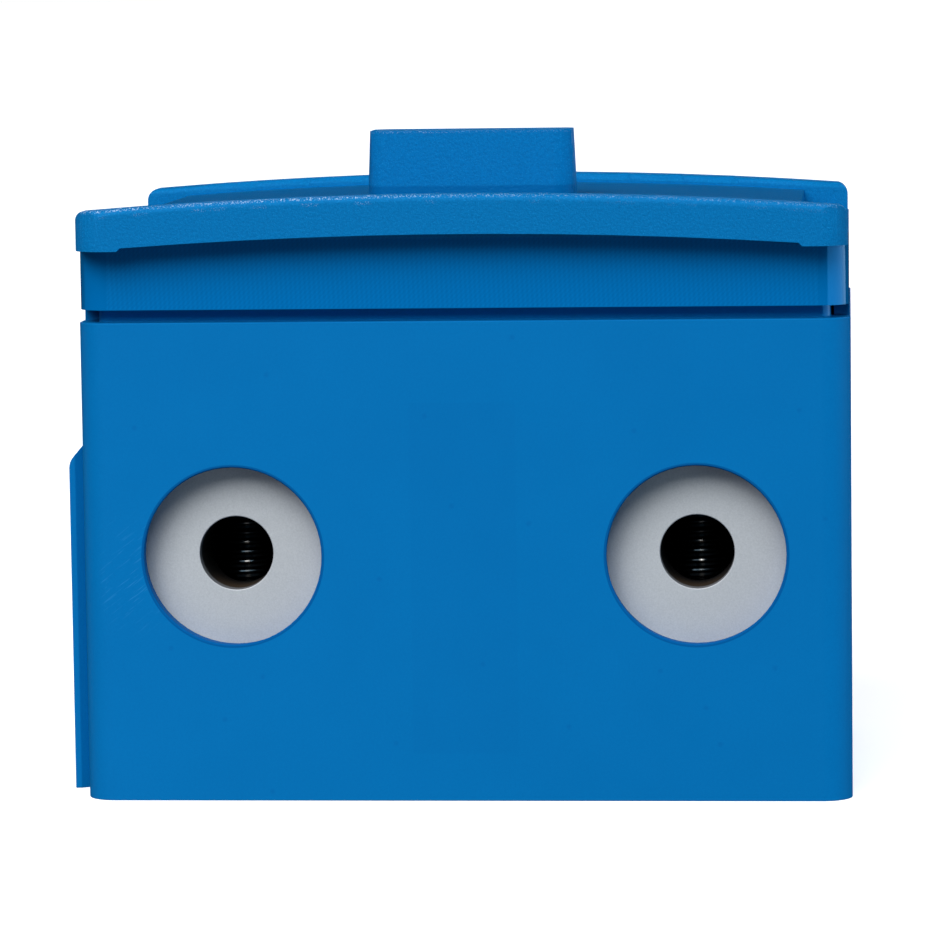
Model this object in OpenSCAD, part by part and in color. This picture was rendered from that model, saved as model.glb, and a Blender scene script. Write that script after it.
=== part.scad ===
// Terminal block: a moulded housing and pull-off lid around one aluminium bar,
// with a clamp screw over the conductor at each cable entry, front and rear.
// Millimetres. The front face looks to -Y and the underside lies on Z = 0.

/* [Housing] */
// Width across the two side faces
body_w = 77; // [75:0.1:90]
// Depth from the front face to the rear face
body_d = 49; // [46:0.5:60]
// Height of the shoulder that carries the lid
shoulder_h = 48.1; // [46:0.1:56]
// Radius of the four upright corners
corner_r = 3; // [2.5:0.1:3.4]
// Thickness of the outer walls
wall_t = 2.9; // [2.6:0.1:3.4]
// Thickness of the floor
floor_t = 3; // [2:0.1:4]
// Gap between the inner upstand and the lid above it
upstand_gap = 0.9; // [0.4:0.1:2]

/* [Cable entries] */
// Diameter of each round entry in the front and rear walls
entry_d = 17.8; // [14:0.1:19]
// Distance from a side face to the middle of the nearest entry
entry_margin = 15.35; // [14.5:0.05:16]
// Height of the entries above the underside
entry_z = 24.7; // [23:0.1:27]

/* [Terminal bar] */
// Width of each of the bar's two end blocks
block_w = 20; // [19.5:0.1:20.5]
// Height of the end blocks
block_h = 23.4; // [21:0.1:25]
// Diameter of the conductor bores
bore_d = 7.4; // [5:0.1:7.8]
// Depth of the web between the end blocks
web_d = 14; // [11:0.5:16]
// Height of the web
web_h = 7; // [5:0.1:9]
// Gap between the bar and the walls around it
bar_gap = 0.15; // [0.1:0.05:0.3]

/* [Clamp screws] */
// Diameter over the fine thread
clamp_d = 8; // [8:0.1:9]
// Length of a clamp screw
clamp_l = 16; // [15:0.5:18]
// Distance between the front and the rear screw of one bore
clamp_span = 22; // [18:0.1:24]
// Size across flats of the hexagon socket
socket_af = 4; // [3:0.5:5]
// Depth of the hexagon socket
socket_depth = 5; // [3:0.5:7]
// Chamfer at both ends of the screw
clamp_chamfer = 0.6; // [0.3:0.1:1]
// Radial clearance of the screw in its tapped hole
clamp_clear = 0.05; // [0.02:0.01:0.08]
// How far the tapped hole runs on below the conductor bore
tap_runout = 0.8; // [0.7:0.1:1.5]

/* [Bar screws] */
// Shank diameter of the screws that hold the bar down
hold_d = 4; // [3:0.5:4]
// Head diameter
hold_head_d = 7.5; // [6:0.5:8]
// Head height
hold_head_h = 2.6; // [2:0.1:3]
// Distance between the two screws
hold_span = 10; // [9.5:0.5:13]
// Length of thread below the web
hold_grip = 7; // [5:0.5:8]
// Diameter of the bosses under the web
boss_d = 9; // [8:0.5:10]
// Clearance around the shank in the web
hold_clear = 0.2; // [0.1:0.05:0.3]
// Clearance around the shank in its boss
boss_clear = 0.05; // [0.02:0.01:0.1]
// Width of the driving slot
hold_slot_w = 1.1; // [0.8:0.1:1.4]

/* [Support ribs] */
// Thickness of the ribs under the end blocks
rib_t = 2.4; // [1.6:0.1:3]
// Distance between the two ribs of one block
rib_span = 13; // [10:0.5:16]

/* [Fixing holes] */
// Diameter of the holes in the floor
fixing_d = 4.5; // [3.5:0.1:5.5]
// Distance between the front and the rear hole
fixing_span = 30; // [27:0.5:32]

/* [Side tongues and grooves] */
// Width of a tongue at its outer face
tongue_w = 9.4; // [8:0.1:11]
// How much the tongue narrows on each side towards the wall
tongue_undercut = 1; // [0.5:0.1:1.4]
// How far a tongue stands out
tongue_p = 2.2; // [1.5:0.1:2.4]
// Thickness of the tongue's straight outer edge
tongue_edge = 0.6; // [0.3:0.1:0.9]
// Height of a tongue above the underside
tongue_h = 36.2; // [28:0.1:40]
// Height of the lead-in slope at a tongue's top
tongue_lead = 2.7; // [1.5:0.1:4]
// Distance between the front and the rear tongue
tongue_span = 25; // [22:0.5:27]
// Clearance between a tongue and the groove it slides in
groove_clear = 0.15; // [0.1:0.05:0.25]
// Wall left around a groove
groove_wall = 1.8; // [1.2:0.1:2.2]

/* [Lid skirt] */
// How far the skirt lies inside the housing's outline
skirt_inset = 0.15; // [0.05:0.05:0.3]
// Thickness of the skirt
skirt_t = 1.5; // [1.3:0.1:1.8]
// Clearance between the skirt and the upstand
skirt_clear = 0.3; // [0.2:0.05:0.4]
// Height of the pry slot at the front and rear
slot_h = 1.3; // [1:0.05:2.5]
// How far the pry slot runs back around each corner
slot_return = 5.2; // [3.5:0.1:8]

/* [Lid top] */
// Height of the crown of the rims above the shoulder
crown_h = 12.7; // [11:0.1:16]
// Radius of the arched top
crown_r = 494; // [400:1:700]
// Thickness of the panel, the ledges and the risers
lid_t = 2.2; // [1.6:0.1:2.6]
// Width of the ledge on each side of the raised panel
ledge_w = 5; // [4:0.1:8]
// How far the panel lies below the rims
panel_drop = 1; // [0.6:0.1:1.4]
// How far the side ledges lie below the crown
ledge_drop = 4.2; // [3.8:0.1:4.6]

/* [Lid rims] */
// How far the rims' ends lie inside the side faces
rim_inset = 0.25; // [0.1:0.05:0.6]
// How far a rim overhangs the skirt
rim_overhang = 3; // [2:0.1:4]
// Depth of a rim
rim_t = 4; // [3.4:0.1:5]
// Height of a rim
rim_h = 3.9; // [3.4:0.05:4.2]
// Rounding along the rim's upper edges
rim_fillet = 0.7; // [0.3:0.05:1]
// Rounding at the rim's upper ends
rim_end_r = 1.3; // [0.5:0.1:1.6]
// Length of the foot at each end of a rim
foot_w = 4.8; // [3:0.1:6]
// How far a foot reaches below the rim's arch
foot_drop = 0.35; // [0.2:0.05:0.8]

/* [Pull fin] */
// Width of the fin at its root
fin_w = 21.2; // [16:0.1:28]
// Width lost on each side by the draft
fin_draft = 0.35; // [0.2:0.05:1]
// Thickness of the fin
fin_t = 7; // [6:0.1:10]
// Height of the fin above the crown
fin_h = 5.7; // [4:0.1:10]
// Distance from the front of the front rim to the front of the fin
fin_set = 17; // [8:0.5:26]
// Radius of the fin's upright corners
fin_r = 2.2; // [1:0.1:2.8]
// Wall left around the hollow inside the fin
fin_wall = 2; // [1.4:0.1:2.4]

/* [Hidden] */
$fn = 96;
// Fragments of a full crown circle
crown_fn = 1440;
// Overshoot that keeps cuts clear of the faces they open
over = 1;
// How far a rounding outline stands outside the faces it joins
round_ease = 0.02;
half_w = body_w / 2;
half_d = body_d / 2;
cavity_w = body_w - 2 * wall_t;
cavity_d = body_d - 2 * wall_t;
cavity_r = max(0.5, corner_r - wall_t + 1);
lid_w = body_w - 2 * skirt_inset;
lid_d = body_d - 2 * skirt_inset;
lid_r = corner_r - skirt_inset;
upstand_in = skirt_inset + skirt_t + skirt_clear;
entry_x = half_w - entry_margin;
block_d = cavity_d - 2 * bar_gap;
block_z = entry_z - block_h / 2;
block_top = block_z + block_h;
web_top = block_z + web_h;
bore_bottom = entry_z - bore_d / 2;
tap_d = clamp_d + 2 * clamp_clear;
hold_hole_d = hold_d + 2 * hold_clear;
pad_t = cavity_w / 2 - entry_x - block_w / 2 - bar_gap;
groove_d = tongue_p + groove_clear;
groove_w = tongue_w + 2 * groove_clear;
groove_h = tongue_h + groove_clear;
crown_z = shoulder_h + crown_h;
crown_cz = crown_z - crown_r;
ledge_z = crown_z - ledge_drop;
ledge_under = ledge_z - lid_t;
upstand_top = ledge_under - upstand_gap;
panel_w = body_w - 2 * ledge_w;
panel_r = crown_r - panel_drop;
slot_top = shoulder_h + slot_h;
rim_w = body_w - 2 * rim_inset;
rim_front = half_d + rim_overhang;
rim_back = rim_front - rim_t;
rim_under_r = crown_r - rim_h;
foot_x = rim_w / 2 - foot_w;
foot_bottom = crown_cz + sqrt(pow(rim_under_r, 2) - pow(foot_x, 2)) - foot_drop;
fin_y = -rim_front + fin_set + fin_t / 2;
fin_top = crown_z + fin_h;
fin_root = crown_z - panel_drop - lid_t / 2;

moulding_blue = [0.0, 0.43, 0.70];
lid_blue = [0.0, 0.45, 0.73];
bar_grey = [0.72, 0.74, 0.76];
screw_black = [0.12, 0.12, 0.13];
steel_grey = [0.62, 0.62, 0.60];

// Rectangle centred on the origin with round corners
module round_rect(w, d, r) {
    square([w - 2 * r, d], center = true);
    square([w, d - 2 * r], center = true);
    for (x = [-1, 1], y = [-1, 1])
        translate([x * (w / 2 - r), y * (d / 2 - r)])
            circle(r);
}

// Upright prism with round corners, between two heights
module round_block(w, d, r, z0, z1) {
    translate([0, 0, z0])
        linear_extrude(z1 - z0)
            round_rect(w, d, r);
}

// Box centred on the Z axis, between two heights
module column(w, d, z0, z1) {
    translate([-w / 2, -d / 2, z0])
        cube([w, d, z1 - z0]);
}

// Cylinder along Y, between two depths
module y_cylinder(d, y0, y1) {
    translate([0, y0, 0])
        rotate([-90, 0, 0])
            cylinder(d = d, h = y1 - y0);
}

// Outline drawn in X and Z, carried along Y between two depths
module y_extrude(y0, y1) {
    translate([0, y1, 0])
        rotate([90, 0, 0])
            linear_extrude(y1 - y0)
                children();
}

// Section drawn as radius and depth, swept along the arch of the crown
module crown_sweep(reach) {
    sweep_angle = asin(reach / (crown_r - 2 * crown_h));
    translate([0, 0, crown_cz])
        rotate([-90, 0, 0])
            rotate([0, 0, 270 - sweep_angle])
                rotate_extrude(angle = 2 * sweep_angle, $fn = crown_fn)
                    children();
}

// Dovetail outline of a tongue or groove, standing out along +X
module dovetail(w, p, edge, undercut) {
    polygon([
        [-over, undercut - w / 2],
        [0, undercut - w / 2],
        [p - edge, -w / 2],
        [p, -w / 2],
        [p, w / 2],
        [p - edge, w / 2],
        [0, w / 2 - undercut],
        [-over, w / 2 - undercut]
    ]);
}

// One tongue, with a lead-in slope at its top
module tongue() {
    intersection() {
        linear_extrude(tongue_h)
            dovetail(tongue_w, tongue_p, tongue_edge, tongue_undercut);
        y_extrude(-tongue_w, tongue_w)
            polygon([
                [-over, 0],
                [tongue_p, 0],
                [tongue_p, tongue_h - tongue_lead],
                [0, tongue_h],
                [-over, tongue_h]
            ]);
    }
}

// Groove that takes a neighbour's tongue from below
module groove() {
    translate([-groove_d, 0, -over])
        linear_extrude(groove_h + over)
            mirror([1, 0])
                translate([-groove_d, 0])
                    dovetail(groove_w, groove_d, tongue_edge + groove_clear, tongue_undercut);
}

// Pad inside a side wall that stiffens it and keeps the bar central
module side_pad() {
    pad_w = groove_w + 2 * groove_wall;
    translate([half_w - wall_t - pad_t, -pad_w / 2, 0])
        cube([pad_t + wall_t / 2, pad_w, groove_h + groove_wall]);
}

module outer_shell() {
    difference() {
        union() {
            round_block(body_w, body_d, corner_r, 0, shoulder_h);
            round_block(
                body_w - 2 * upstand_in, body_d - 2 * upstand_in,
                max(corner_r - upstand_in, 0.6), 0, upstand_top
            );
        }
        round_block(cavity_w, cavity_d, cavity_r, floor_t, upstand_top + over);
    }
}

module bar_supports() {
    for (x = [-1, 1], side = [-1, 1])
        translate([x * entry_x + side * rib_span / 2, 0, 0])
            column(rib_t, cavity_d + wall_t, 0, block_z);
    for (x = [-1, 1])
        translate([x * hold_span / 2, 0, 0])
            cylinder(d = boss_d, h = block_z);
}

module base_housing() {
    color(moulding_blue)
        difference() {
            union() {
                outer_shell();
                bar_supports();
                for (y = [-1, 1])
                    translate([0, y * tongue_span / 2, 0]) {
                        side_pad();
                        mirror([1, 0, 0])
                            side_pad();
                        translate([-half_w, 0, 0])
                            mirror([1, 0, 0])
                                tongue();
                    }
            }
            for (y = [-1, 1])
                translate([half_w, y * tongue_span / 2, 0])
                    groove();
            for (x = [-1, 1], y = [-1, 1])
                translate([x * entry_x, y * (half_d - wall_t / 2), entry_z])
                    y_cylinder(entry_d, -wall_t / 2 - over, wall_t / 2 + over);
            for (y = [-1, 1])
                translate([0, y * fixing_span / 2, -over])
                    cylinder(d = fixing_d, h = floor_t + 2 * over);
            for (x = [-1, 1])
                translate([x * hold_span / 2, 0, block_z - hold_grip - over])
                    cylinder(d = hold_d + 2 * boss_clear, h = hold_grip + 2 * over);
        }
}

module lid_skirt() {
    difference() {
        round_block(lid_w, lid_d, lid_r, shoulder_h, ledge_z);
        round_block(
            lid_w - 2 * skirt_t, lid_d - 2 * skirt_t,
            max(lid_r - skirt_t, 0.5), shoulder_h - over, ledge_under
        );
        for (y = [-1, 1])
            translate([0, y * half_d, 0])
                column(body_w + over, 2 * slot_return, shoulder_h - over, slot_top);
        column(panel_w - 2 * lid_t, lid_d - 2 * skirt_t, ledge_under - over, ledge_z + over);
    }
}

// Raised part of the lid between the ledges, closed by the arched panel
module lid_panel() {
    intersection() {
        difference() {
            column(panel_w, lid_d, ledge_under, crown_z);
            column(panel_w - 2 * lid_t, lid_d - 2 * skirt_t, ledge_under - over, crown_z + over);
        }
        crown_sweep(panel_w / 2)
            translate([panel_r - crown_h, -half_d])
                square([crown_h, body_d]);
    }
    intersection() {
        column(panel_w, lid_d, ledge_under, crown_z);
        crown_sweep(panel_w / 2)
            translate([panel_r - lid_t, -half_d])
                square([lid_t, body_d]);
    }
}

// Section of a rim as radius and depth, with its upper edges rounded
module rim_section() {
    translate([rim_under_r, -rim_front])
        square([rim_h - rim_fillet, rim_t]);
    translate([rim_under_r, rim_fillet - rim_front])
        square([rim_h, rim_t - 2 * rim_fillet]);
    for (y = [rim_fillet, rim_t - rim_fillet])
        translate([crown_r - rim_fillet, y - rim_front])
            circle(rim_fillet);
}

// Outline of the rims in X and Z, with the upper ends rounded into the arch
module rim_end_outline() {
    end_x = rim_w / 2 - rim_end_r;
    end_z = crown_cz + sqrt(pow(crown_r - rim_end_r + round_ease, 2) - pow(end_x, 2));
    meet_x = end_x * crown_r / (crown_r - rim_end_r);
    translate([-rim_w / 2, shoulder_h])
        square([rim_w, end_z - shoulder_h]);
    translate([-meet_x, shoulder_h])
        square([2 * meet_x, crown_h + over]);
    for (x = [-1, 1])
        translate([x * end_x, end_z])
            circle(rim_end_r);
}

// Foot at one end of a rim, sloped where it leaves the arch
module rim_foot() {
    y_extrude(-rim_front, skirt_t - half_d)
        polygon([
            [foot_x + foot_drop, foot_bottom],
            [half_w, foot_bottom],
            [half_w, ledge_z],
            [foot_x - foot_drop, ledge_z],
            [foot_x - foot_drop, foot_bottom + 2 * foot_drop]
        ]);
}

module front_rim() {
    intersection() {
        union() {
            crown_sweep(rim_w / 2)
                rim_section();
            rim_foot();
            mirror([1, 0, 0])
                rim_foot();
        }
        y_extrude(-rim_front - over, over)
            rim_end_outline();
        round_block(
            rim_w + 2 * round_ease, 2 * (rim_front + round_ease), corner_r, shoulder_h, crown_z + over
        );
    }
}

module pull_fin() {
    translate([0, fin_y, 0])
        intersection() {
            round_block(fin_w, fin_t, fin_r, fin_root, fin_top);
            y_extrude(-fin_t, fin_t)
                polygon([
                    [-fin_w / 2, fin_root],
                    [fin_w / 2, fin_root],
                    [fin_w / 2, crown_z - panel_drop],
                    [fin_w / 2 - fin_draft, fin_top],
                    [fin_draft - fin_w / 2, fin_top],
                    [-fin_w / 2, crown_z - panel_drop]
                ]);
        }
}

// Hollow that keeps the fin's walls even
module fin_core() {
    core_w = fin_w - 2 * (fin_wall + fin_draft);
    translate([0, fin_y, 0])
        column(core_w, fin_t - 2 * fin_wall, crown_z - 2 * rim_h, fin_top - fin_wall);
}

module lid() {
    color(lid_blue)
        difference() {
            union() {
                lid_skirt();
                lid_panel();
                front_rim();
                mirror([0, 1, 0])
                    front_rim();
                pull_fin();
            }
            fin_core();
        }
}

module terminal_bar() {
    color(bar_grey)
        difference() {
            union() {
                for (x = [-1, 1])
                    translate([x * entry_x, 0, 0])
                        column(block_w, block_d, block_z, block_top);
                column(2 * entry_x, web_d, block_z, web_top);
            }
            for (x = [-1, 1])
                translate([x * entry_x, 0, entry_z])
                    y_cylinder(bore_d, -half_d, half_d);
            for (x = [-1, 1], y = [-1, 1])
                translate([x * entry_x, y * clamp_span / 2, bore_bottom - tap_runout])
                    cylinder(d = tap_d, h = block_h);
            for (x = [-1, 1])
                translate([x * hold_span / 2, 0, block_z - over])
                    cylinder(d = hold_hole_d, h = web_h + 2 * over);
        }
}

// Set screw standing with its tip on the bottom of the conductor bore
module clamp_screw() {
    shank_l = clamp_l - 2 * clamp_chamfer;
    tip_d = clamp_d - 2 * clamp_chamfer;
    color(screw_black)
        translate([0, 0, bore_bottom])
            difference() {
                union() {
                    cylinder(d1 = tip_d, d2 = clamp_d, h = clamp_chamfer);
                    translate([0, 0, clamp_chamfer])
                        cylinder(d = clamp_d, h = shank_l);
                    translate([0, 0, clamp_l - clamp_chamfer])
                        cylinder(d1 = clamp_d, d2 = tip_d, h = clamp_chamfer);
                }
                translate([0, 0, clamp_l - socket_depth])
                    cylinder(d = socket_af / cos(30), h = socket_depth + over, $fn = 6);
            }
}

// Slotted screw through the web into its boss
module bar_screw() {
    slot_depth = hold_head_h / 2;
    color(steel_grey)
        difference() {
            union() {
                translate([0, 0, block_z - hold_grip])
                    cylinder(d = hold_d, h = web_h + hold_grip);
                translate([0, 0, web_top])
                    cylinder(d = hold_head_d, h = hold_head_h);
            }
            column(hold_head_d + over, hold_slot_w, web_top + slot_depth, web_top + hold_head_h + over);
        }
}

module placed_clamp(x, y) {
    translate([x * entry_x, y * clamp_span / 2, 0])
        clamp_screw();
}

module clamp_screw_front_left() {
    placed_clamp(-1, -1);
}

module clamp_screw_front_right() {
    placed_clamp(1, -1);
}

module clamp_screw_rear_left() {
    placed_clamp(-1, 1);
}

module clamp_screw_rear_right() {
    placed_clamp(1, 1);
}

module bar_screw_left() {
    translate([-hold_span / 2, 0, 0])
        bar_screw();
}

module bar_screw_right() {
    translate([hold_span / 2, 0, 0])
        bar_screw();
}

base_housing();
lid();
terminal_bar();
clamp_screw_front_left();
clamp_screw_front_right();
clamp_screw_rear_left();
clamp_screw_rear_right();
bar_screw_left();
bar_screw_right();
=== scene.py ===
"""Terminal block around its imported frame: rounded edges, cut threads, finishes, light and camera.

Lengths are named in millimetres and angles in degrees. MM turns millimetres into the frame's metres.
"""
import math

import bmesh
import bpy
from mathutils import Matrix, Vector


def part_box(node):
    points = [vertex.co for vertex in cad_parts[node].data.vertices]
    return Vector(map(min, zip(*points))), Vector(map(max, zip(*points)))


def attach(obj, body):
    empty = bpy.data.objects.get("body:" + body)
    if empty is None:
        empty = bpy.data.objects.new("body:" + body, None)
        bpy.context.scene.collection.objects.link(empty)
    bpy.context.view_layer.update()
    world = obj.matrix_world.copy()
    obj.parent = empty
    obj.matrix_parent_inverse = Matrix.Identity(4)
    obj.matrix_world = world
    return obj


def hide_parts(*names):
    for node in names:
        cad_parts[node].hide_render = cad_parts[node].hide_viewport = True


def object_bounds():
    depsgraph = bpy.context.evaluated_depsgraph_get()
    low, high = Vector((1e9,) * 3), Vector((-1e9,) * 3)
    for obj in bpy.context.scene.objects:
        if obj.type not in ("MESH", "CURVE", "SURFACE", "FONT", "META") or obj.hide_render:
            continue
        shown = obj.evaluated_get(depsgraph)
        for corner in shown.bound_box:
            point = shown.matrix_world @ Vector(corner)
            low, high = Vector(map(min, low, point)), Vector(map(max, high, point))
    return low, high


MM = 0.001
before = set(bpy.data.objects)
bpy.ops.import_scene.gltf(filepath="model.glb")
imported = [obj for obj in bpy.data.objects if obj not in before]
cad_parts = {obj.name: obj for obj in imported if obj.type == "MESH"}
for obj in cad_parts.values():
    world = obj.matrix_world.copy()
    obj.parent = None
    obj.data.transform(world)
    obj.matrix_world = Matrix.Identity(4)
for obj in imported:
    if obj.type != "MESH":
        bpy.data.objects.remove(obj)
CAD_LOW, CAD_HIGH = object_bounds()

# Camera of the photograph, placed in the part's frame
CAMERA_PLACE = (38.34, -481.09, 81.16)
CAMERA_YAW = 4.675
CAMERA_PITCH = 5.996
CAMERA_ROLL = -0.739
CAMERA_LENS = 176.75
SENSOR_W = 36
CLIP_NEAR = 10
CLIP_FAR = 200000

# Edge rounding of the moulded and milled pieces
HOUSING_EDGE = 0.1
LID_EDGE = 0.18
METAL_EDGE = 0.15
EDGE_STEPS = 2
WELD = 0.012
FLAT_ANGLE = 0.4
SHARP_ANGLE = 30
FACE_WEIGHT = 60

# Moulded details of the housing: the cable entries widen a little inwards and have rounded
# lips, and each side tongue is rounded where its outer face turns into the lead-in slope
WALL = 2.9
ENTRY_R = 8.9
ENTRY_DRAFT = 0.25
ENTRY_LIP = 0.2
LIP_STEPS = 3
TONGUE_BEND_Z = 33.5
TONGUE_BEND = 0.55
BEND_STEPS = 4
NEAR = 0.05

# Fine metric thread of the clamp screws, with a hexagon socket
THREAD_PITCH = 1.0
THREAD_DEPTH = 0.6
THREAD_STEPS = 64
THREAD_START = 0.37
CREST_FALL = 0.04
CLAMP_CHAMFER = 0.6
BLANK_OVER = 0.01
SEAM = 0.0001
SOCKET_AF = 4
SOCKET_DEPTH = 5


def node_size(node):
    """Lowest corner, highest corner and middle of a CAD node, in millimetres."""
    low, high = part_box(node)
    return low / MM, high / MM, (low + high) / 2 / MM


def new_piece(name, bm):
    """Turns a bmesh in millimetres into a smooth-shaded object in metres."""
    bmesh.ops.scale(bm, vec=(MM, MM, MM), verts=bm.verts)
    mesh = bpy.data.meshes.new(name)
    bm.to_mesh(mesh)
    bm.free()
    mesh.shade_smooth()
    piece = bpy.data.objects.new(name, mesh)
    bpy.context.scene.collection.objects.link(piece)
    return piece


def even_normals(piece):
    """Keeps flat faces flat in the shading, so that only the rounded edges turn."""
    weighted = piece.modifiers.new("even normals", "WEIGHTED_NORMAL")
    weighted.mode = "FACE_AREA"
    weighted.weight = FACE_WEIGHT
    weighted.keep_sharp = True


def bevel(bm, edges, width, segments):
    bmesh.ops.bevel(
        bm, geom=edges, offset=width, offset_type="OFFSET", segments=segments, profile=0.5,
        affect="EDGES", clamp_overlap=True,
    )


def edges_where(bm, test):
    return [e for e in bm.edges if all(test(v.co) for v in e.verts)]


def mould_housing(bm):
    """Drafts the cable entries, and rounds their lips and the bends below the tongues' slopes."""
    outer = min(v.co.x for v in bm.verts)
    front = max(v.co.y for v in bm.verts)
    axis_x = node_size("clamp_screw_front_right")[2].x
    axis_z = node_size("terminal_bar")[2].z

    def in_entry(co):
        from_axis = math.hypot(abs(co.x) - axis_x, co.z - axis_z)
        return abs(co.y) > front - WALL - NEAR and abs(from_axis - ENTRY_R) < NEAR

    def on_lip(co):
        return in_entry(co) and abs(co.y) > front - NEAR

    def on_bend(co):
        return co.x < outer + NEAR and abs(co.z - TONGUE_BEND_Z) < NEAR

    for v in bm.verts:
        if in_entry(v.co) and not on_lip(v.co):
            axis = Vector((math.copysign(axis_x, v.co.x), v.co.y, axis_z))
            v.co += (v.co - axis).normalized() * ENTRY_DRAFT
    bevel(bm, edges_where(bm, on_lip), ENTRY_LIP, LIP_STEPS)
    bevel(bm, edges_where(bm, on_bend), TONGUE_BEND, BEND_STEPS)


def rounded_copy(node, name, edge):
    """Copy of a CAD node with its sharp edges rounded to a radius."""
    bm = bmesh.new()
    bm.from_mesh(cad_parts[node].data)
    bmesh.ops.scale(bm, vec=(1 / MM, 1 / MM, 1 / MM), verts=bm.verts)
    bmesh.ops.remove_doubles(bm, verts=bm.verts, dist=WELD)
    flat = math.radians(FLAT_ANGLE)
    bmesh.ops.dissolve_limit(bm, angle_limit=flat, verts=bm.verts, edges=bm.edges)
    if node == "base_housing":
        mould_housing(bm)
    sharp = math.radians(SHARP_ANGLE)
    sharp_edges = [e for e in bm.edges if e.is_manifold and e.calc_face_angle() > sharp]
    bevel(bm, sharp_edges, edge, EDGE_STEPS)
    piece = new_piece(name, bm)
    even_normals(piece)
    return piece


def heading(azimuth, elevation):
    """Unit vector from the part towards a light or the camera."""
    a = math.radians(azimuth)
    e = math.radians(elevation)
    return Vector((math.sin(a) * math.cos(e), -math.cos(a) * math.cos(e), math.sin(e)))


def main_camera():
    yaw = math.radians(CAMERA_YAW)
    roll = math.radians(CAMERA_ROLL)
    back = heading(CAMERA_YAW, CAMERA_PITCH)
    level = Vector((math.cos(yaw), math.sin(yaw), 0))
    upright = back.cross(level)
    right = math.cos(roll) * level + math.sin(roll) * upright
    up = back.cross(right)
    camera = bpy.data.objects.new("camera", bpy.data.cameras.new("camera"))
    camera.data.sensor_width = SENSOR_W
    camera.data.lens = CAMERA_LENS
    camera.data.clip_start = CLIP_NEAR * MM
    camera.data.clip_end = CLIP_FAR * MM
    turn = Matrix((right, up, back)).transposed().to_4x4()
    camera.matrix_world = Matrix.Translation(Vector(CAMERA_PLACE) * MM) @ turn
    bpy.context.scene.collection.objects.link(camera)
    bpy.context.scene.camera = camera


# Studio light: azimuth 0 is straight in front of the aim, and elevation is the angle above it. The
# two table lights come from below, for the light that a table throws back
LIGHT_AIM = (0, -20, 35)
TOP_LIGHT = {"azimuth": -6, "elevation": 46, "spread": 46, "strength": 2.2}
SOFTBOX = {"azimuth": -33, "elevation": 36, "away": 580, "size": (360, 360), "power": 1.76}
SIDE_STRIP = {"azimuth": 76, "elevation": -1, "away": 350, "size": (640, 40), "power": 0.25}
SMALL_LAMP = {"azimuth": 6, "elevation": 27, "away": 357, "size": (7, 9), "power": 0.013}
TABLE_GLOW = {"azimuth": -30, "elevation": -37, "away": 62, "size": (160, 20), "power": 0.0024}
TABLE_FILL = {"azimuth": -25, "elevation": -25, "spread": 50, "strength": 0.25}
RIGHT_FILL = {"azimuth": 88, "elevation": 20, "spread": 40, "strength": 1.3}
BACK_FILL = {"azimuth": 172, "elevation": 10, "spread": 50, "strength": 1.7}
LEFT_FILL = {"azimuth": -125, "elevation": 10, "spread": 40, "strength": 0.3}
STRIP_TINT = (0.55, 0.85, 1)
AMBIENT = (0.008, 0.022, 0.034, 1)
WHITE = (1, 1, 1, 1)

# Pale floor under the part
FLOOR_SIDE = 60000
FLOOR_PAINT = (0.9, 0.9, 0.9, 1)
FLOOR_ROUGH = 0.9
FLOOR_GLOW = 0.5


def place_lamp(name, lamp, azimuth, elevation, away=0):
    toward = heading(azimuth, elevation)
    piece = bpy.data.objects.new(name, lamp)
    piece.location = (Vector(LIGHT_AIM) + toward * away) * MM
    piece.rotation_mode = "QUATERNION"
    piece.rotation_quaternion = toward.to_track_quat("Z", "Y")
    piece.visible_camera = False
    bpy.context.scene.collection.objects.link(piece)
    return piece


def panel_light(name, azimuth, elevation, away, size, power, tint=(1, 1, 1)):
    lamp = bpy.data.lights.new(name, "AREA")
    lamp.color = tint
    lamp.shape = "RECTANGLE"
    lamp.size, lamp.size_y = (side * MM for side in size)
    lamp.energy = power
    place_lamp(name, lamp, azimuth, elevation, away)


def far_light(name, azimuth, elevation, spread, strength, gloss=False):
    """Even light from far away, which leaves a highlight only where gloss is set."""
    lamp = bpy.data.lights.new(name, "SUN")
    lamp.energy = strength
    lamp.angle = math.radians(spread)
    place_lamp(name, lamp, azimuth, elevation).visible_glossy = gloss


def studio_lights():
    far_light("top light", **TOP_LIGHT, gloss=True)
    panel_light("softbox", **SOFTBOX)
    panel_light("side strip", **SIDE_STRIP, tint=STRIP_TINT)
    panel_light("small lamp", **SMALL_LAMP)
    panel_light("table glow", **TABLE_GLOW)
    far_light("table fill", **TABLE_FILL)
    far_light("right fill", **RIGHT_FILL)
    far_light("back fill", **BACK_FILL)
    far_light("left fill", **LEFT_FILL)


def link(tree, value, socket):
    """Sets a socket from another node's output, or from a plain value."""
    if isinstance(value, bpy.types.NodeSocket):
        tree.links.new(value, socket)
    else:
        socket.default_value = value


def add(tree, kind, inputs=(), **settings):
    """Adds a node, with its inputs by name or number and its other settings by name."""
    node = tree.nodes.new(kind)
    for name, value in settings.items():
        setattr(node, name, value)
    for name, value in dict(inputs).items():
        link(tree, value, node.inputs[name])
    return node


# Colour sockets of the Mix node, whose names it uses again for its other data types
COLOUR_A = 6
COLOUR_B = 7
COLOUR_RESULT = 2


def mix_colours(tree, share, a, b):
    inputs = {"Factor": share, COLOUR_A: a, COLOUR_B: b}
    return add(tree, "ShaderNodeMix", inputs, data_type="RGBA").outputs[COLOUR_RESULT]


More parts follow.
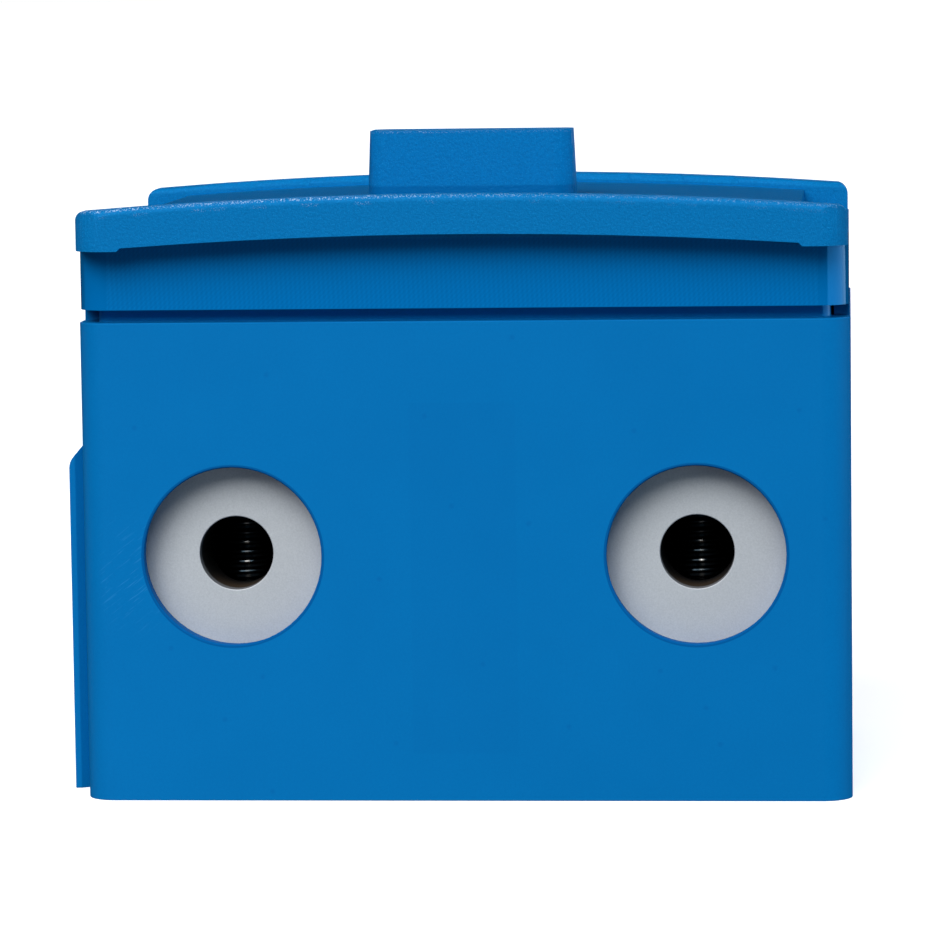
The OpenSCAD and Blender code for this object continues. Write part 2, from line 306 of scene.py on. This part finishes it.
def studio_world():
    """White where the camera sees past the part, and a faint blue light on the part itself."""
    world = bpy.data.worlds.new("studio")
    bpy.context.scene.world = world
    world.use_nodes = True
    tree = world.node_tree
    tree.nodes.clear()
    seen = add(tree, "ShaderNodeLightPath").outputs["Is Camera Ray"]
    tint = mix_colours(tree, seen, AMBIENT, WHITE)
    background = add(tree, "ShaderNodeBackground", {"Color": tint})
    out = add(tree, "ShaderNodeOutputWorld")
    tree.links.new(background.outputs[0], out.inputs["Surface"])


def pale_floor():
    bm = bmesh.new()
    bmesh.ops.create_grid(bm, x_segments=1, y_segments=1, size=FLOOR_SIDE / 2 * MM)
    mesh = bpy.data.meshes.new("floor")
    bm.to_mesh(mesh)
    bm.free()
    floor = bpy.data.objects.new("floor", mesh)
    floor.location.z = CAD_LOW.z
    floor.visible_diffuse = False
    floor.visible_glossy = False
    floor.visible_shadow = False
    bpy.context.scene.collection.objects.link(floor)
    paint = bpy.data.materials.new("pale floor")
    paint.use_nodes = True
    shader = paint.node_tree.nodes["Principled BSDF"]
    shader.inputs["Base Color"].default_value = FLOOR_PAINT
    shader.inputs["Roughness"].default_value = FLOOR_ROUGH
    shader.inputs["Specular IOR Level"].default_value = 0.0
    shader.inputs["Emission Color"].default_value = WHITE
    shader.inputs["Emission Strength"].default_value = FLOOR_GLOW
    mesh.materials.append(paint)


# Half the width over which the edge of a mark on a finish fades
SOFT = 0.1


class Finish:
    """A node material whose patterns are laid out in millimetres on the piece itself."""

    def __init__(self, name):
        self.material = bpy.data.materials.new(name)
        self.material.use_nodes = True
        self.tree = self.material.node_tree
        self.shader = self.tree.nodes["Principled BSDF"]
        metres = self.node("ShaderNodeTexCoord").outputs["Object"]
        scaled = self.node("ShaderNodeVectorMath", {0: metres, "Scale": 1 / MM}, operation="SCALE")
        self.place = scaled.outputs["Vector"]
        self.x, self.y, self.z = self.node("ShaderNodeSeparateXYZ", {0: self.place}).outputs

    def node(self, kind, inputs=(), **settings):
        return add(self.tree, kind, inputs, **settings)

    def math(self, operation, a, b=0):
        return self.node("ShaderNodeMath", {0: a, 1: b}, operation=operation).outputs[0]

    def product(self, first, *others):
        for other in others:
            first = self.math("MULTIPLY", first, other)
        return first

    def length(self, a, b):
        squares = self.math("ADD", self.math("MULTIPLY", a, a), self.math("MULTIPLY", b, b))
        return self.math("SQRT", squares)

    def wave(self, value, pitch):
        return self.math("SINE", self.math("MULTIPLY", value, 2 * math.pi / pitch))

    def drawn(self, shares):
        """The pattern's place, with each axis multiplied by a share."""
        made = self.node("ShaderNodeVectorMath", {0: self.place, 1: shares}, operation="MULTIPLY")
        return made.outputs["Vector"]

    def noise(self, per_mm, detail=2, roughness=0.5, place=None):
        inputs = {"Scale": per_mm, "Detail": detail, "Roughness": roughness}
        made = self.node("ShaderNodeTexNoise", {"Vector": place or self.place, **inputs})
        return made.outputs["Fac"]

    def spread(self, value, low, high, to_low=0, to_high=1):
        """Maps a value from one span to another, held at both ends."""
        span = {"From Min": low, "From Max": high, "To Min": to_low, "To Max": to_high}
        return self.node("ShaderNodeMapRange", {"Value": value, **span}).outputs["Result"]

    def fade(self, value, reach, core):
        """One up to a share of the reach, the core, and falling to zero at the reach."""
        return self.spread(value, reach, core * reach)

    def within(self, value, middle, half):
        """One where a value lies within half a width of the middle, with soft edges."""
        away = self.math("ABSOLUTE", self.math("SUBTRACT", value, middle))
        return self.spread(away, half + SOFT, half - SOFT)

    def mix(self, share, a, b):
        return mix_colours(self.tree, share, a, b)

    def blend(self, share, a, b):
        """Mixes two numbers, as mix does two colours."""
        made = self.node("ShaderNodeMix", {"Factor": share, "A": a, "B": b}, data_type="FLOAT")
        return made.outputs["Result"]

    def bump(self, height, depth, strength):
        inputs = {"Height": height, "Distance": depth * MM, "Strength": strength}
        return self.node("ShaderNodeBump", inputs).outputs["Normal"]

    def set(self, **inputs):
        """Sets the shader's inputs, each named in small letters with underscores."""
        for name, value in inputs.items():
            link(self.tree, value, self.shader.inputs[name.replace("_", " ").title()])


def colour(r, g, b):
    return (r, g, b, 1.0)


HOUSING_BLUE = colour(0.0, 0.163, 0.457)
HOUSING_DEEP = colour(0.0, 0.158, 0.446)
# Painted shade on the cable entries' walls and lips
ENTRY_SHADE = colour(0.0, 0.092, 0.31)
LID_BLUE = colour(0.0, 0.170, 0.456)
LID_DEEP = colour(0.0, 0.133, 0.373)
# Painted shade on the lid's panel between the rims
PANEL_SHADE = colour(0.0, 0.105, 0.310)
SKIRT_BLUE = colour(0.0, 0.163, 0.472)
SKIRT_DEEP = colour(0.0, 0.132, 0.400)
SPARK_BLUE = colour(0.005, 0.210, 0.525)
GLOSS_BLUE = colour(0.10, 0.48, 1.0)
# Painted glints on the lid's edges
GLINT_SPECK_PALE = colour(0.50, 0.66, 0.88)
SCUFF_PALE = colour(0.02, 0.23, 0.56)
SPOT_DARK = colour(0.0, 0.115, 0.37)
ALUMINIUM_DARK = colour(0.47, 0.50, 0.53)
ALUMINIUM_PALE = colour(0.56, 0.59, 0.62)
# Painted shade and painted light inside the conductor bores
BORE_SHADE_BLACK = colour(0.010, 0.009, 0.009)
BORE_FLOOR_LIGHT = colour(0.050, 0.032, 0.018)
MOUTH_HALF_SHADE = colour(0.20, 0.205, 0.22)
OXIDE_BLACK = colour(0.008, 0.011, 0.014)
OXIDE_GREY = colour(0.016, 0.025, 0.032)
# Painted highlights on the clamp screws' crests
STEEL_GLINT = colour(0.15, 0.15, 0.145)
ZINC_DARK = colour(0.50, 0.51, 0.52)
ZINC_PALE = colour(0.62, 0.62, 0.60)

# Names of the finishes' values: a SCALE is a noise's waves per millimetre, a LEVEL is the span of
# a noise over which a pattern rises from nothing to full, a SHARE is how far one tone covers
# another, a ROUGH is a roughness, and a BUMP is a depth and a strength
NOISE_MIDDLE = (0.35, 0.65)
NOISE_MOST = (0.3, 0.7)


def from_bore_axis(f):
    """Distance of a point from the axis of the nearest conductor bore."""
    aside = f.math("SUBTRACT", f.math("ABSOLUTE", f.x), node_size("clamp_screw_front_right")[2].x)
    above = f.math("SUBTRACT", f.z, node_size("terminal_bar")[2].z)
    return f.length(aside, above)


# Housing: fine grain all over, marks on the front and rear faces, and painted shade on the cable
# entries' walls and lips
FACE_SKIN = 0.3
BLOTCH_SCALE = 0.11
HOUSING_GRAIN_SCALE = 4.0
HOUSING_GRAIN_SHARE = 0.24
HOUSING_BUMP = (0.008, 0.5)
INSERT_W = 10.6
INSERT_LOW = 4.8
INSERT_HIGH = 40
INSERT_SHARE = 0.1
SPOT_GAP = 12
SPOT_R = 0.35
SPOT_SHARE = 0.45
SCUFF_PLACE = (-33, 23)
SCUFF_REACH = 7
SCUFF_SLANT = 38
SCUFF_STRETCH = (2.8, 0.2, 1)
SCUFF_SCALE = 1.0
SCUFF_LEVEL = (0.58, 0.72)
SCUFF_SHARE = 0.75
ENTRY_RING = 0.34
RING_DULLNESS = 0.4
SATIN_SCALE = 0.4
SATIN_ROUGH = (0.52, 0.60)
SHOULDER_Z = 48.1
UPSTAND_POLISH = 0.42


def housing_finish():
    """Satin moulding with a fine grain, a mould insert's trace, a few spots, some scuffs, and painted
    shade on the entry walls and lips.
    """
    f = Finish("housing plastic")
    _, high, _ = node_size("base_housing")
    on_face = f.spread(f.math("ABSOLUTE", f.y), high.y - FACE_SKIN, high.y - SOFT)
    grain = f.noise(HOUSING_GRAIN_SCALE, detail=3, roughness=0.7)
    blotches = f.spread(f.noise(BLOTCH_SCALE, detail=3), *NOISE_MIDDLE)
    tone = f.mix(blotches, HOUSING_BLUE, HOUSING_DEEP)
    tone = f.mix(f.spread(grain, *NOISE_MIDDLE, 0, HOUSING_GRAIN_SHARE), tone, SPOT_DARK)

    across = f.within(f.x, 0, INSERT_W / 2)
    upward = f.within(f.z, (INSERT_HIGH + INSERT_LOW) / 2, (INSERT_HIGH - INSERT_LOW) / 2)
    tone = f.mix(f.product(across, upward, on_face, INSERT_SHARE), tone, SPOT_DARK)

    flat = f.node("ShaderNodeCombineXYZ", {"X": f.x, "Y": f.z}).outputs[0]
    cells = f.node(
        "ShaderNodeTexVoronoi", {"Vector": flat, "Scale": 1 / SPOT_GAP}, voronoi_dimensions="2D"
    ).outputs["Distance"]
    spots = f.fade(cells, SPOT_R / SPOT_GAP, core=0.3)
    tone = f.mix(f.product(spots, on_face, SPOT_SHARE), tone, SPOT_DARK)

    turned = f.node(
        "ShaderNodeMapping",
        {"Vector": flat, "Rotation": (0, 0, math.radians(SCUFF_SLANT)), "Scale": SCUFF_STRETCH},
        vector_type="TEXTURE",
    ).outputs[0]
    scuffs = f.noise(SCUFF_SCALE, roughness=0.6, place=turned)
    lines = f.spread(scuffs, *SCUFF_LEVEL, 0, SCUFF_SHARE)
    aside = f.math("SUBTRACT", f.x, SCUFF_PLACE[0])
    above = f.math("SUBTRACT", f.z, SCUFF_PLACE[1])
    rub_and_glint = f.fade(f.length(aside, above), SCUFF_REACH, core=0.4)
    tone = f.mix(f.product(lines, rub_and_glint, on_face), tone, SCUFF_PALE)

    # Painted shade: the entry walls and lips take a deeper blue, and the same ring dulls their gloss
    ring = f.fade(f.math("SUBTRACT", from_bore_axis(f), ENTRY_R), ENTRY_RING, core=0.8)
    satin = f.spread(f.noise(SATIN_SCALE, detail=4), *NOISE_MOST, *SATIN_ROUGH)
    polish = f.spread(f.z, SHOULDER_Z, SHOULDER_Z + SOFT, 0, -UPSTAND_POLISH)
    dulled = f.math("ADD", satin, f.math("MULTIPLY", ring, RING_DULLNESS))
    f.set(
        base_color=f.mix(ring, tone, ENTRY_SHADE),
        roughness=f.math("ADD", dulled, polish),
        specular_tint=GLOSS_BLUE,
        normal=f.bump(grain, *HOUSING_BUMP),
    )
    return f.material


# Lid sizes that its finish follows
CROWN_R = 494
FIN_RISE = 5.7
RIM_T = 4
RIM_FILLET = 0.7
RIM_OVERHANG = 3.15
LEDGE_DROP = 4.2
SKIRT_FLAT = 35.5

# Lid: eroded grain, painted glints as pale specks on the edges, a hatched skirt with glossy corners,
# and a panel in painted shade
ERODED_SCALE = 3.6
ERODED_ROUGH = 0.62
ERODED_BUMP = (0.09, 0.7)
SPARK_SCALE = 8.0
SPARK_LEVEL = (0.59, 0.72)
HATCH_PITCH = 0.47
HATCH_LEAN = 0.45
HATCH_ROW = 0.95
CORNER_SHARE = 0.7
CORNER_ROUGH = 0.09
SKIRT_ROUGH = 0.30
EDGE_GLINT_DEPTH = 0.36
EDGE_GLINT_BACK = 1.0
SPECK_WIDTH = 0.22
PATCH_SCALE = 0.5
PATCH_LEVEL = (0.50, 0.62)
PATCH_SHARE = 0.32
FIN_GLINT = 0.3
FIN_SHARE = 0.4
EDGE_GLINT_SPAN = 12
EDGE_GLINT_LEAST = 0.35
FLECK_SCALE = 8.0
FLECK_DRAW = (1, 0.3, 1)
FLECK_LEVEL = (0.54, 0.68)
PANEL_SHADE_SHARE = 0.8
PANEL_ROUGH = 0.36


def painted_edge_glints(f, high, depth, back):
    """Painted glints: pale specks along the rims' edges and the fin's top, fewer towards the right.
    """
    upper = f.product(f.fade(depth, EDGE_GLINT_DEPTH, core=1 / 3), f.fade(back, EDGE_GLINT_BACK, core=0.6))
    aside = f.length(f.math("SUBTRACT", depth, RIM_FILLET), back)
    patches = f.spread(f.noise(PATCH_SCALE, detail=1), *PATCH_LEVEL, 0, PATCH_SHARE)
    lower = f.product(f.fade(aside, SPECK_WIDTH, core=0.5), patches)
    below_top = f.math("SUBTRACT", high.z, f.z)
    fin_edge = f.product(
        f.fade(below_top, FIN_GLINT, core=0.5), f.spread(below_top, 0, SOFT / 2), FIN_SHARE
    )
    edges = f.math("MAXIMUM", f.math("MAXIMUM", upper, lower), fin_edge)
    glints_leftward = f.spread(f.x, EDGE_GLINT_SPAN, -EDGE_GLINT_SPAN, EDGE_GLINT_LEAST, 1)
    flecks = f.spread(f.noise(FLECK_SCALE, place=f.drawn(FLECK_DRAW)), *FLECK_LEVEL)
    return f.product(edges, glints_leftward, flecks)


def lid_finish():
    """Spark-eroded grain, painted glints as pale specks on the rim edges and the fin's top, painted
    shade on the panel, and a smoother, finely hatched skirt.
    """
    f = Finish("lid plastic")
    _, high, _ = node_size("lid")
    crown = high.z - FIN_RISE
    ledge = crown - LEDGE_DROP
    outward = f.math("ABSOLUTE", f.y)
    skirt_y = high.y - RIM_OVERHANG
    below = f.spread(f.z, ledge - SOFT, ledge - 3 * SOFT)
    skirt = f.product(f.spread(outward, skirt_y + 2.5 * SOFT, skirt_y + SOFT), below)

    grain = f.noise(ERODED_SCALE, detail=3, roughness=0.65)
    eroded = f.mix(f.spread(grain, *NOISE_MOST), LID_DEEP, LID_BLUE)
    eroded = f.mix(f.spread(f.noise(SPARK_SCALE, detail=1), *SPARK_LEVEL), eroded, SPARK_BLUE)
    leaning = f.math("SUBTRACT", f.x, f.math("MULTIPLY", f.z, HATCH_LEAN))
    on_flat = f.spread(f.math("ABSOLUTE", f.x), SKIRT_FLAT, SKIRT_FLAT - 2 * SOFT)
    hatch = f.product(f.wave(leaning, HATCH_PITCH), f.wave(f.z, HATCH_ROW), on_flat)
    most = f.spread(on_flat, 0, 1, CORNER_SHARE, 1)
    hatched = f.mix(f.spread(hatch, -1, 1, 0, most), SKIRT_DEEP, SKIRT_BLUE)
    tone = f.mix(skirt, eroded, hatched)

    rise = f.math("SUBTRACT", f.z, crown - CROWN_R)
    depth = f.math("SUBTRACT", CROWN_R, f.length(f.x, rise))
    back = f.math("SUBTRACT", high.y, outward)
    behind_rim = f.spread(back, RIM_T + SOFT, RIM_T + 3 * SOFT)
    panel = f.product(behind_rim, f.spread(f.z, crown + 2 * SOFT, crown))
    # Painted shade: the panel between the rims is toned deeper
    tone = f.mix(f.product(panel, PANEL_SHADE_SHARE), tone, PANEL_SHADE)
    dull = f.spread(panel, 0, 1, ERODED_ROUGH, PANEL_ROUGH)
    relief = f.product(grain, f.math("SUBTRACT", 1, skirt))
    f.set(
        # Painted glints along the rims' edges and the fin's top, in pale specks
        base_color=f.mix(painted_edge_glints(f, high, depth, back), tone, GLINT_SPECK_PALE),
        roughness=f.blend(skirt, dull, f.spread(on_flat, 0, 1, CORNER_ROUGH, SKIRT_ROUGH)),
        specular_tint=GLOSS_BLUE,
        normal=f.bump(relief, *ERODED_BUMP),
    )
    return f.material


# Terminal bar: blasted outside, with painted shade in the bores, black deep in and grey at the mouth,
# and painted light in brown on their lower side near the mouth
BORE_R = 3.7
BORE_SKIN = 0.06
MOUTH_DEEP = 1.5
BROWN_DEEP = 6
BROWN_BELOW = 0.6 * BORE_R
BLAST_SCALE = 6.0
BLAST_BUMP = (0.02, 0.5)


def aluminium_finish():
    """Bead-blasted aluminium, with painted shade inside the bores and painted light on their floors
    near the mouth.
    """
    f = Finish("bar aluminium")
    _, high, middle = node_size("terminal_bar")
    grain = f.noise(BLAST_SCALE, detail=4, roughness=0.65)
    blasted = f.mix(f.spread(grain, *NOISE_MOST), ALUMINIUM_DARK, ALUMINIUM_PALE)
    # Painted shade in the bores: grey at the mouth, black deeper in, and painted light in brown on
    # the lower side near the mouth
    in_bore = f.fade(f.math("SUBTRACT", from_bore_axis(f), BORE_R), BORE_SKIN, core=1 / 3)
    low_side = f.spread(f.math("SUBTRACT", f.z, middle.z), -BROWN_BELOW, -BORE_R)
    deep = f.math("SUBTRACT", high.y, f.math("ABSOLUTE", f.y))
    brown = f.product(low_side, f.fade(deep, BROWN_DEEP, core=0.5))
    inside = f.mix(brown, BORE_SHADE_BLACK, BORE_FLOOR_LIGHT)
    inside = f.mix(f.fade(deep, MOUTH_DEEP, core=0.7), inside, MOUTH_HALF_SHADE)
    f.set(
        base_color=f.mix(in_bore, blasted, inside),
        metallic=0.3,
        roughness=0.6,
        normal=f.bump(grain, *BLAST_BUMP),
    )
    return f.material


# Clamp screws: black oxide, with painted highlights: a narrow line on which every other crest
# reflects brighter
STREAK_SCALE = 1.1
STREAK_DRAW = (0.35, 0.35, 1.3)
STREAK_LEVEL = (0.38, 0.62)
CREST_GLINT_PLACE = 0.22
CREST_GLINT_WIDTH = 0.32
CREST_GLINT_LEAST = 0.2
OXIDE_SCALE = 0.9
OXIDE_ROUGH = (0.12, 0.26)


def black_steel_finish():
    """Black oxide in faint streaks along the thread, with painted highlights on one line of its
    crests.
    """
    f = Finish("black steel")
    streaks = f.noise(STREAK_SCALE, detail=3, roughness=0.6, place=f.drawn(STREAK_DRAW))
    tone = f.mix(f.spread(streaks, *STREAK_LEVEL), OXIDE_BLACK, OXIDE_GREY)
    # Painted highlights: a brighter line on every other crest, where the glints sit
    beside = f.math("ABSOLUTE", f.math("SUBTRACT", f.x, CREST_GLINT_PLACE))
    turns = f.math("COSINE", f.math("MULTIPLY", f.z, math.pi / THREAD_PITCH))
    spots = f.spread(turns, -1, 1, CREST_GLINT_LEAST, 1)
    rub_and_glint = f.product(f.fade(beside, CREST_GLINT_WIDTH, core=0.3), spots)
    f.set(
        base_color=f.mix(rub_and_glint, tone, STEEL_GLINT),
        metallic=1.0,
        roughness=f.spread(f.noise(OXIDE_SCALE, detail=1), *NOISE_MIDDLE, *OXIDE_ROUGH),
    )
    return f.material


# Bar screws: zinc plating
ZINC_SCALE = 1.5
ZINC_FINE_SCALE = 4.0
ZINC_ROUGH = (0.28, 0.40)


def plated_steel_finish():
    f = Finish("plated steel")
    f.set(
        base_color=f.mix(f.noise(ZINC_SCALE, detail=3), ZINC_DARK, ZINC_PALE),
        metallic=1.0,
        roughness=f.spread(f.noise(ZINC_FINE_SCALE, detail=3), *NOISE_MOST, *ZINC_ROUGH),
    )
    return f.material


def thread_rod(radius, length):
    """Helical rod with a right-hand thread, closed at both ends on the axis."""
    flat = THREAD_PITCH / 8
    crest = THREAD_PITCH / 2 + flat
    profile = [
        (0.0, radius - THREAD_DEPTH),
        (2 * flat, radius - THREAD_DEPTH),
        (crest - flat, radius - CREST_FALL),
        (crest, radius),
        (crest + flat, radius - CREST_FALL),
    ]
    steps = THREAD_STEPS * math.ceil(length / THREAD_PITCH)
    bm = bmesh.new()
    rows = []
    for i in range(steps + THREAD_STEPS + 1):
        angle = 2 * math.pi * i / THREAD_STEPS
        rise = THREAD_PITCH * i / THREAD_STEPS
        rows.append([
            bm.verts.new((r * math.cos(angle), r * math.sin(angle), rise + z)) for z, r in profile
        ])

    def point(i, k):
        return rows[i][k] if k < len(profile) else rows[i + THREAD_STEPS][0]

    for i in range(steps):
        for k in range(len(profile)):
            bm.faces.new((point(i, k), point(i + 1, k), point(i + 1, k + 1), point(i, k + 1)))
    spare = [v for row in rows for v in row if not v.link_faces]
    for v in spare:
        bm.verts.remove(v)
    open_edges = [e for e in bm.edges if e.is_boundary]
    for level in (-THREAD_PITCH, length + 2 * THREAD_PITCH):
        tip = bm.verts.new((0, 0, level))
        near = [e for e in open_edges if (e.verts[0].co.z < length / 2) == (level < 0)]
        for e in near:
            bm.faces.new((*e.verts, tip))
    bmesh.ops.recalc_face_normals(bm, faces=bm.faces)
    bmesh.ops.translate(bm, vec=(0, 0, -THREAD_PITCH - THREAD_START), verts=bm.verts)
    return bm


def screw_blank(radius, length):
    """Chamfered cylinder that trims the rod's ends, a little wider than its thread."""
    tip = radius - CLAMP_CHAMFER
    side = radius + BLANK_OVER
    outline = [
        (0, 0), (tip, 0), (side, CLAMP_CHAMFER),
        (side, length - CLAMP_CHAMFER), (tip, length), (0, length),
    ]
    bm = bmesh.new()
    verts = [bm.verts.new((r, 0, z)) for r, z in outline]
    edges = [bm.edges.new(pair) for pair in zip(verts, verts[1:])]
    bmesh.ops.spin(
        bm, geom=verts + edges, axis=(0, 0, 1), cent=(0, 0, 0), angle=2 * math.pi,
        steps=THREAD_STEPS, use_merge=True,
    )
    bmesh.ops.remove_doubles(bm, verts=bm.verts, dist=SEAM)
    bmesh.ops.recalc_face_normals(bm, faces=bm.faces)
    return bm


def socket_cutter(length):
    """Hexagonal rod around the screw's upper end, as deep below it as the socket."""
    radius = SOCKET_AF / 2 / math.cos(math.pi / 6)
    bm = bmesh.new()
    bmesh.ops.create_cone(
        bm, cap_ends=True, segments=6, radius1=radius, radius2=radius, depth=2 * SOCKET_DEPTH,
        matrix=Matrix.Translation((0, 0, length)),
    )
    return bm


def combined(name, base, *steps):
    """Mesh of a base object with other objects cut from it or intersected with it."""
    for operation, tool in steps:
        cut = base.modifiers.new(operation, "BOOLEAN")
        cut.operation = operation
        cut.object = tool
        cut.solver = "EXACT"
    depsgraph = bpy.context.evaluated_depsgraph_get()
    shape = bpy.data.meshes.new_from_object(base.evaluated_get(depsgraph))
    shape.name = name
    for piece in [base] + [tool for _, tool in steps]:
        bpy.data.objects.remove(piece)
    return shape


def clamp_screw_mesh(radius, length):
    rod = new_piece("rod", thread_rod(radius, length))
    blank = new_piece("blank", screw_blank(radius, length))
    socket = new_piece("socket", socket_cutter(length))
    return combined("clamp screw", rod, ("INTERSECT", blank), ("DIFFERENCE", socket))


CLAMPS = [(y, x) for y in ("front", "rear") for x in ("left", "right")]


def clamp_screws(finish):
    low, high, _ = node_size("clamp_screw_front_left")
    mesh = clamp_screw_mesh((high.x - low.x) / 2, high.z - low.z)
    mesh.shade_smooth()
    mesh.set_sharp_from_angle(angle=math.radians(SHARP_ANGLE))
    mesh.materials.clear()
    mesh.materials.append(finish)
    for y, x in CLAMPS:
        node = f"clamp_screw_{y}_{x}"
        low, _, middle = node_size(node)
        screw = bpy.data.objects.new(f"threaded_{node}", mesh)
        screw.location = Vector((middle.x, middle.y, low.z)) * MM
        bpy.context.scene.collection.objects.link(screw)
        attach(screw, f"clamp_{y}_{x}")
        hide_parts(node)


# Pieces with rounded edges: CAD node, piece, body, material slot and edge radius
ROUNDED = [
    ("base_housing", "housing_shell", "housing", "housing_plastic", HOUSING_EDGE),
    ("lid", "arched_lid", "lid", "lid_plastic", LID_EDGE),
    ("terminal_bar", "milled_bar", "housing", "bar_aluminium", METAL_EDGE),
    ("bar_screw_left", "slotted_screw_left", "housing", "plated_steel", METAL_EDGE),
    ("bar_screw_right", "slotted_screw_right", "housing", "plated_steel", METAL_EDGE),
]


def rounded_pieces(finishes):
    for node, name, body, slot, edge in ROUNDED:
        piece = rounded_copy(node, name, edge)
        piece.data.materials.append(finishes[slot])
        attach(piece, body)
        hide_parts(node)


def main():
    bpy.context.scene.view_settings.view_transform = "Standard"
    main_camera()
    studio_lights()
    studio_world()
    pale_floor()
    finishes = {
        "housing_plastic": housing_finish(),
        "lid_plastic": lid_finish(),
        "bar_aluminium": aluminium_finish(),
        "black_steel": black_steel_finish(),
        "plated_steel": plated_steel_finish(),
    }
    rounded_pieces(finishes)
    clamp_screws(finishes["black_steel"])


main()
